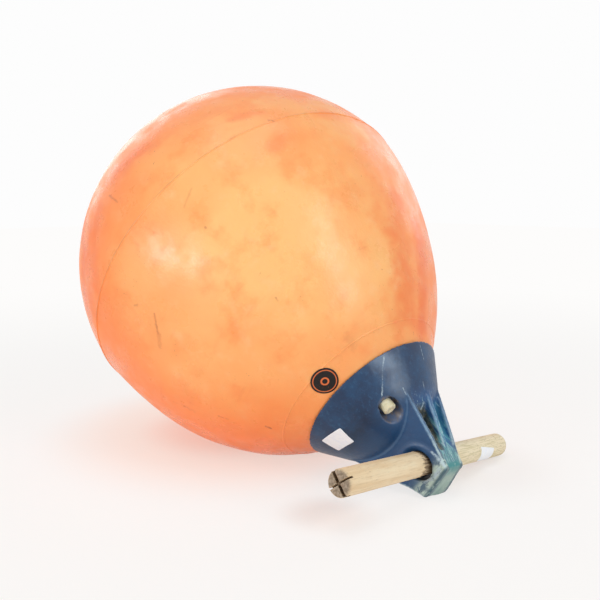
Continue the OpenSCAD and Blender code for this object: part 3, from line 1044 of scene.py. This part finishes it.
def stuck_on(name, outline, surface, lift, material, rows=24):
    """A thin closed sheet that follows a surface. outline gives its edge, and surface(u, v)
    gives the point there and its outward direction."""
    build = bmesh.new()
    tops, bases, reach = [], [], []
    for ring in range(rows + 1):
        share = ring / rows
        loop = [(0.0, 0.0)] if ring == 0 else [(u * share, v * share) for u, v in outline]
        spots = [surface(u, v) for u, v in loop]
        tops.append([build.verts.new(at + out * lift) for at, out in spots])
        bases.append([build.verts.new(at - out * lift) for at, out in spots])
        reach += [share] * (2 * len(loop))
    for k in range(len(outline)):
        m = (k + 1) % len(outline)
        for side, way in ((tops, 1), (bases, -1)):
            build.faces.new((side[0][0], side[1][k], side[1][m])[::way])
            for inner, outer in zip(side[1:], side[2:]):
                build.faces.new((inner[k], outer[k], outer[m], inner[m])[::way])
        build.faces.new((tops[-1][k], bases[-1][k], bases[-1][m], tops[-1][m]))
    bmesh.ops.recalc_face_normals(build, faces=build.faces)
    mesh = from_bmesh(name, build)
    store(mesh, reach=reach)
    set_smooth(mesh)
    mesh.materials.append(material)
    return put(name, mesh)


def turned_surface(profile, turn, round_radius, place):
    """A turned surface: u runs round it, and profile(v) gives its radius, height and tilt."""
    def at(u, v):
        radius, height, tilt = profile(v)
        a = turn + u / round_radius
        return (place @ around(radius, a, height),
                place.to_3x3() @ around(cos(tilt), a, sin(tilt)))
    return at


def rounded_rectangle(width, height, corner, turned):
    """Outline of a label, turned by an angle in degrees, with a point at least every 2 mm."""
    loop = []
    for quarter, (sx, sy) in enumerate(((1, 1), (-1, 1), (-1, -1), (1, -1))):
        for k in range(7):
            a = radians(90 * quarter + 90 * k / 6)
            loop.append((sx * (width / 2 - corner) + corner * cos(a),
                         sy * (height / 2 - corner) + corner * sin(a)))
    dense = []
    for (u0, v0), (u1, v1) in zip(loop, loop[1:] + loop[:1]):
        pieces = max(1, round(dist((u0, v0), (u1, v1)) / 0.002))
        dense += [(u0 + (u1 - u0) * k / pieces, v0 + (v1 - v0) * k / pieces)
                  for k in range(pieces)]
    c, s = cos(radians(turned)), sin(radians(turned))
    return [(u * c - v * s, u * s + v * c) for u, v in dense]


class BUOY_OT_labels(bpy.types.Operator):
    """Prints the plain disc on the float and sticks on the two blank labels"""
    bl_idname = "buoy.labels"
    bl_label = "Printed disc and labels"

    def execute(self, context):
        sizes = context.scene.buoy_float
        centre, _, _ = shoulder_arc(sizes)
        arc = sizes.shoulder_radius
        slope = asin((DISC_HEIGHT - centre.y) / arc)

        def float_profile(v):
            tilt = slope + v / arc
            return centre.x + arc * cos(tilt), centre.y + arc * sin(tilt), tilt

        ring = [(DISC_RADIUS * cos(pi * k / 36), DISC_RADIUS * sin(pi * k / 36)) for k in range(72)]
        on_float = turned_surface(float_profile, DISC_TURN, float_radius(sizes, DISC_HEIGHT),
                                  Matrix())
        disc = stuck_on("printed_disc", ring, on_float, 0.00035, printed_disc())
        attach(laid(disc, sizes), "buoy")

        paper = label_paper()
        label_radius = (sizes.rim_radius + SKIRT_LIP
                        - (SKIRT_LABEL_HEIGHT - sizes.rim_height) * tan(SKIRT_SLOPE))
        on_skirt = turned_surface(
            lambda v: (label_radius - v * sin(SKIRT_SLOPE),
                       SKIRT_LABEL_HEIGHT + v * cos(SKIRT_SLOPE), SKIRT_SLOPE),
            SKIRT_LABEL_TURN, label_radius, lay_down())
        label = stuck_on("skirt_label", rounded_rectangle(*SKIRT_LABEL), on_skirt, 0.00025, paper)
        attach(label, "buoy")

        # this label's width lies along the dowel, so its outline swaps round and along
        on_dowel = turned_surface(lambda v: (DOWEL_RADIUS, DOWEL_LABEL_ALONG + v, 0.0),
                                  DOWEL_LABEL_TURN, DOWEL_RADIUS, dowel_frame())
        outline = [(v, u) for u, v in rounded_rectangle(*DOWEL_LABEL)]
        tag = stuck_on("dowel_label", outline, on_dowel, 0.0002, paper)
        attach(tag, "dowel")
        return {"FINISHED"}


# ---- stage

# two soft boxes beside the camera, one overhead and two weak ones behind: place, width and
# height, power in watts
LAMPS = {
    "left_box": ((-0.06, -2.02, 0.54), (1.05, 0.32), 14.5),
    "right_box": ((1.88, 0.06, 1.02), (0.55, 1.35), 14),
    "overhead": ((0.1, -0.3, 2.3), (1.4, 1.4), 11),
    "back_left": ((-1.9, 0.5, 1.0), (1.2, 1.2), 6),
    "back_right": ((-0.2, 2.0, 1.1), (1.2, 1.2), 6),
}
LAMP_TARGET = Vector((0, 0, 0.2))
# where the floor keeps its shadow, under the float and at the dowel's ends: the middle, from
# where to where it fades, and how white the floor is in it
SHADOWS = (
    ((-0.04, 0.0, 0.0), 0.08, 0.18, 0.92),
    ((0.19, -0.115, 0.0), 0.01, 0.06, 0.5),
    ((0.22, 0.10, 0.0), 0.02, 0.12, 0.7),
)
# the middle of the float's colour that is painted into the floor's glow as painted light
GLOW_MIDDLE = (-0.09, 0.0, 0.0)


def seen(tree):
    """1 for rays from the camera and for reflected and refracted ones, 0 for light."""
    path = add(tree, "ShaderNodeLightPath").outputs
    return most(path["Is Camera Ray"], most(path["Is Glossy Ray"], path["Is Transmission Ray"]))


def matt_floor(sizes):
    """Painted board, rolled matt: its shadows show near the buoy, and further out it runs into
    the white surroundings. Close to the float its glow is painted with the float's colour, painted light for the
    light the float throws."""
    material, place = new_look("matt_studio_floor", Matrix())
    tree = material.node_tree
    white = 1.0
    for spot, near, far, least in SHADOWS:
        white = times(white, window(vec("DISTANCE", place, spot), near, far, least=least))
    white = times(white, window(vec("LENGTH", place), 0.3, 1.8, least=0.76))
    # painted light: close by, the floor's glow is tinted with the float's colour, for the light that the float
    # throws on it
    away = vec("DISTANCE", place, GLOW_MIDDLE)
    painted_bounce = painted("#FFD2C4", ("#FFECE3", window(away, 0.06, 0.14)),
                     ("#FDFCFB", window(away, 0.13, 0.27)))
    board = add(tree, "ShaderNodeBsdfPrincipled", {
        "Base Color": sizes.floor, "Roughness": 0.9, "Specular IOR Level": 0.2})
    glow = add(tree, "ShaderNodeEmission", {"Color": painted_bounce, "Strength": 1.0})
    both = add(tree, "ShaderNodeMixShader", {0: times(seen(tree), white), 1: board, 2: glow})
    add(tree, "ShaderNodeOutputMaterial", {0: both})
    return material


def area_lamp(name, at, power, shape, size):
    lamp = bpy.data.lights.new(name, "AREA")
    lamp.shape, lamp.energy = shape, power
    lamp.size, lamp.size_y = size
    holder = put(name, lamp)
    holder.location = at
    return holder


class BUOY_OT_stage(bpy.types.Operator):
    """Sets the floor, the even light, the lamps and the camera"""
    bl_idname = "buoy.stage"
    bl_label = "Stage"

    def execute(self, context):
        scene, sizes = context.scene, context.scene.buoy_stage
        mesh = bpy.data.meshes.new("floor")
        mesh.from_pydata([(-6, -6, 0), (6, -6, 0), (6, 6, 0), (-6, 6, 0)], [], [(0, 1, 2, 3)])
        mesh.materials.append(matt_floor(sizes))
        put("floor", mesh)

        # the surroundings light everything a little, and are seen as white
        world = bpy.data.worlds.new("studio")
        scene.world = world
        world.use_nodes = True
        tree = world.node_tree
        tree.nodes.clear()
        even, white = (
            add(tree, "ShaderNodeBackground", {"Color": colour, "Strength": strength})
            for colour, strength in (("#FFFFFF", sizes.sky), ("#FDFDFD", 1.0)))
        mixed = add(tree, "ShaderNodeMixShader", {0: seen(tree), 1: even, 2: white})
        add(tree, "ShaderNodeOutputWorld", {0: mixed})

        for name, (at, size, power) in LAMPS.items():
            holder = area_lamp(name, at, power, "RECTANGLE", size)
            aim = LAMP_TARGET - Vector(at)
            holder.rotation_euler = aim.to_track_quat("-Z", "Y").to_euler()
        # a weak lamp without shadow, for light through the float's wall. Most of the glow on
        # the floor is painted light, a tint of the floor's own glow close to the float.
        holder = area_lamp("through_wall", (-0.04, 0, 0.08), 0.5, "DISK", (0.2, 0.2))
        holder.data.color, holder.data.use_shadow = (1.0, 0.26, 0.11), False
        holder.visible_camera = holder.visible_glossy = False

        lens = bpy.data.cameras.new("camera")
        lens.lens, lens.sensor_width = sizes.lens, 36
        camera = put("camera", lens)
        camera.location = sizes.camera_at
        camera.rotation_euler = (pi / 2 - sizes.elevation, 0, sizes.azimuth)
        scene.camera = camera
        scene.view_settings.view_transform = "Standard"
        return {"FINISHED"}


# ---- add-on

class BUOY_PT_panel(bpy.types.Panel):
    """Lists the buoy's sizes, colours and steps"""
    bl_idname = "BUOY_PT_panel"
    bl_label = "Marker buoy"
    bl_space_type = "VIEW_3D"
    bl_region_type = "UI"
    bl_category = "Buoy"

    def draw(self, context):
        for name, group in GROUPS.items():
            box = self.layout.box()
            for key in group.__annotations__:
                box.prop(getattr(context.scene, name), key)
        for step in STEPS:
            self.layout.operator(step.bl_idname)


GROUPS = {"buoy_float": FloatSizes, "buoy_head": HeadSizes, "buoy_dowel": DowelSizes,
          "buoy_stage": StageSizes}
STEPS = (BUOY_OT_stage, BUOY_OT_float, BUOY_OT_head, BUOY_OT_valve, BUOY_OT_dowel,
         BUOY_OT_labels)
CLASSES = (*GROUPS.values(), *STEPS, BUOY_PT_panel)


def register():
    for cls in CLASSES:
        bpy.utils.register_class(cls)
    for key, group in GROUPS.items():
        setattr(bpy.types.Scene, key, bpy.props.PointerProperty(type=group))


def unregister():
    for key in GROUPS:
        delattr(bpy.types.Scene, key)
    for cls in reversed(CLASSES):
        bpy.utils.unregister_class(cls)


def main():
    register()
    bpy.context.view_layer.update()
    bpy.ops.buoy.stage()
    bpy.ops.buoy.float()
    bpy.ops.buoy.head()
    bpy.ops.buoy.valve()
    bpy.ops.buoy.dowel()
    bpy.ops.buoy.labels()


if __name__ == "__main__":
    main()
